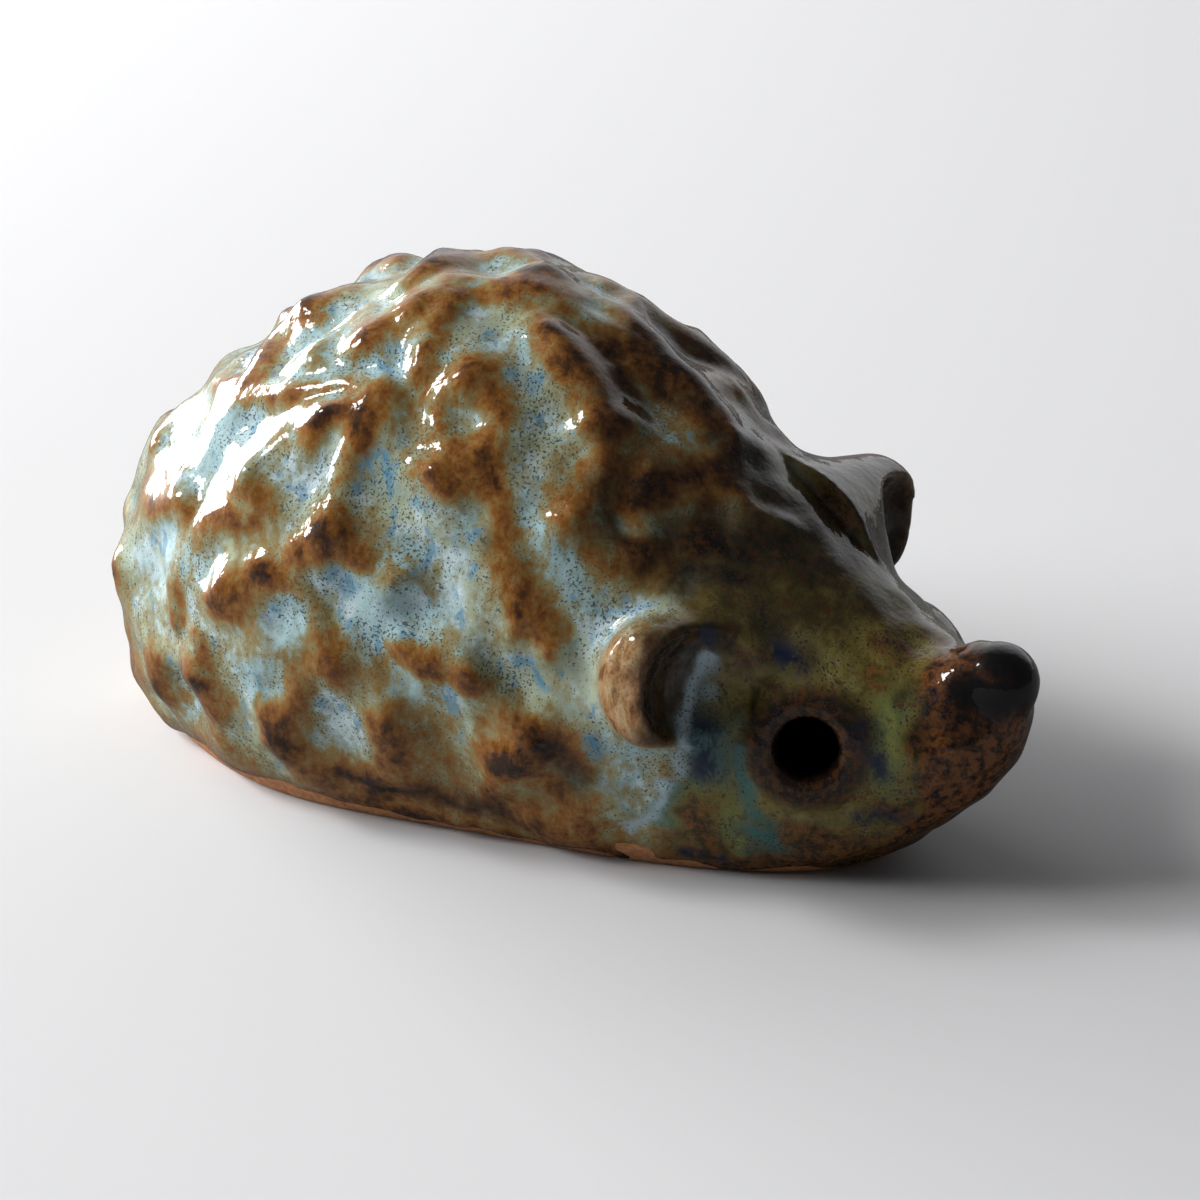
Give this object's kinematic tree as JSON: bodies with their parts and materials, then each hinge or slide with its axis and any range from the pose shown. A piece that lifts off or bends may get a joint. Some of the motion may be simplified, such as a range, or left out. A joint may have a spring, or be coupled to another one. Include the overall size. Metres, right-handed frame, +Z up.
{
  "type": "hedgehog figurine",
  "caption": "Small glazed stoneware hedgehog figurine: hollow clay body with pierced eyes, cupped ears, nose bead, pinched spines and a flat unglazed foot.",
  "frame": {"origin": "on the flat foot, under the middle of the body's length", "axes": "+X towards the nose, +Y towards the animal's left, +Z up"},
  "size_m": [0.0618, 0.0359, 0.0323],
  "materials": {
    "glaze": "glossy",
    "bare_clay": "matte"
  },
  "bodies": {
    "root": {"base_slab": "bare_clay", "body_shell": "glaze", "ear_left": "glaze", "ear_right": "glaze", "nose_bead": "glaze", "spine_crest_01": "glaze", "spine_crest_02": "glaze", "spine_crest_03": "glaze", "spine_crest_04": "glaze", "spine_crest_05": "glaze", "spine_crest_06": "glaze", "spine_crest_07": "glaze", "spine_crest_08": "glaze", "spine_crest_09": "glaze", "spine_crest_10": "glaze", "spine_left_01": "glaze", "spine_left_02": "glaze", "spine_left_03": "glaze", "spine_left_04": "glaze", "spine_left_05": "glaze", "spine_left_06": "glaze", "spine_left_07": "glaze", "spine_left_08": "glaze", "spine_left_09": "glaze", "spine_left_10": "glaze", "spine_left_11": "glaze", "spine_left_12": "glaze", "spine_left_13": "glaze", "spine_left_14": "glaze", "spine_left_15": "glaze", "spine_right_01": "glaze", "spine_right_02": "glaze", "spine_right_03": "glaze", "spine_right_04": "glaze", "spine_right_05": "glaze", "spine_right_06": "glaze", "spine_right_07": "glaze", "spine_right_08": "glaze", "spine_right_09": "glaze", "spine_right_10": "glaze", "spine_right_11": "glaze", "spine_right_12": "glaze", "spine_right_13": "glaze", "spine_right_14": "glaze", "spine_right_15": "glaze", "spine_right_16": "glaze", "spine_right_17": "glaze", "spine_right_18": "glaze", "spine_right_19": "glaze", "spine_right_20": "glaze", "spine_right_21": "glaze", "spine_right_22": "glaze", "spine_right_23": "glaze", "spine_right_24": "glaze", "spine_right_25": "glaze", "spine_right_26": "glaze", "spine_right_27": "glaze", "spine_right_28": "glaze"}
  },
  "joints": []
}
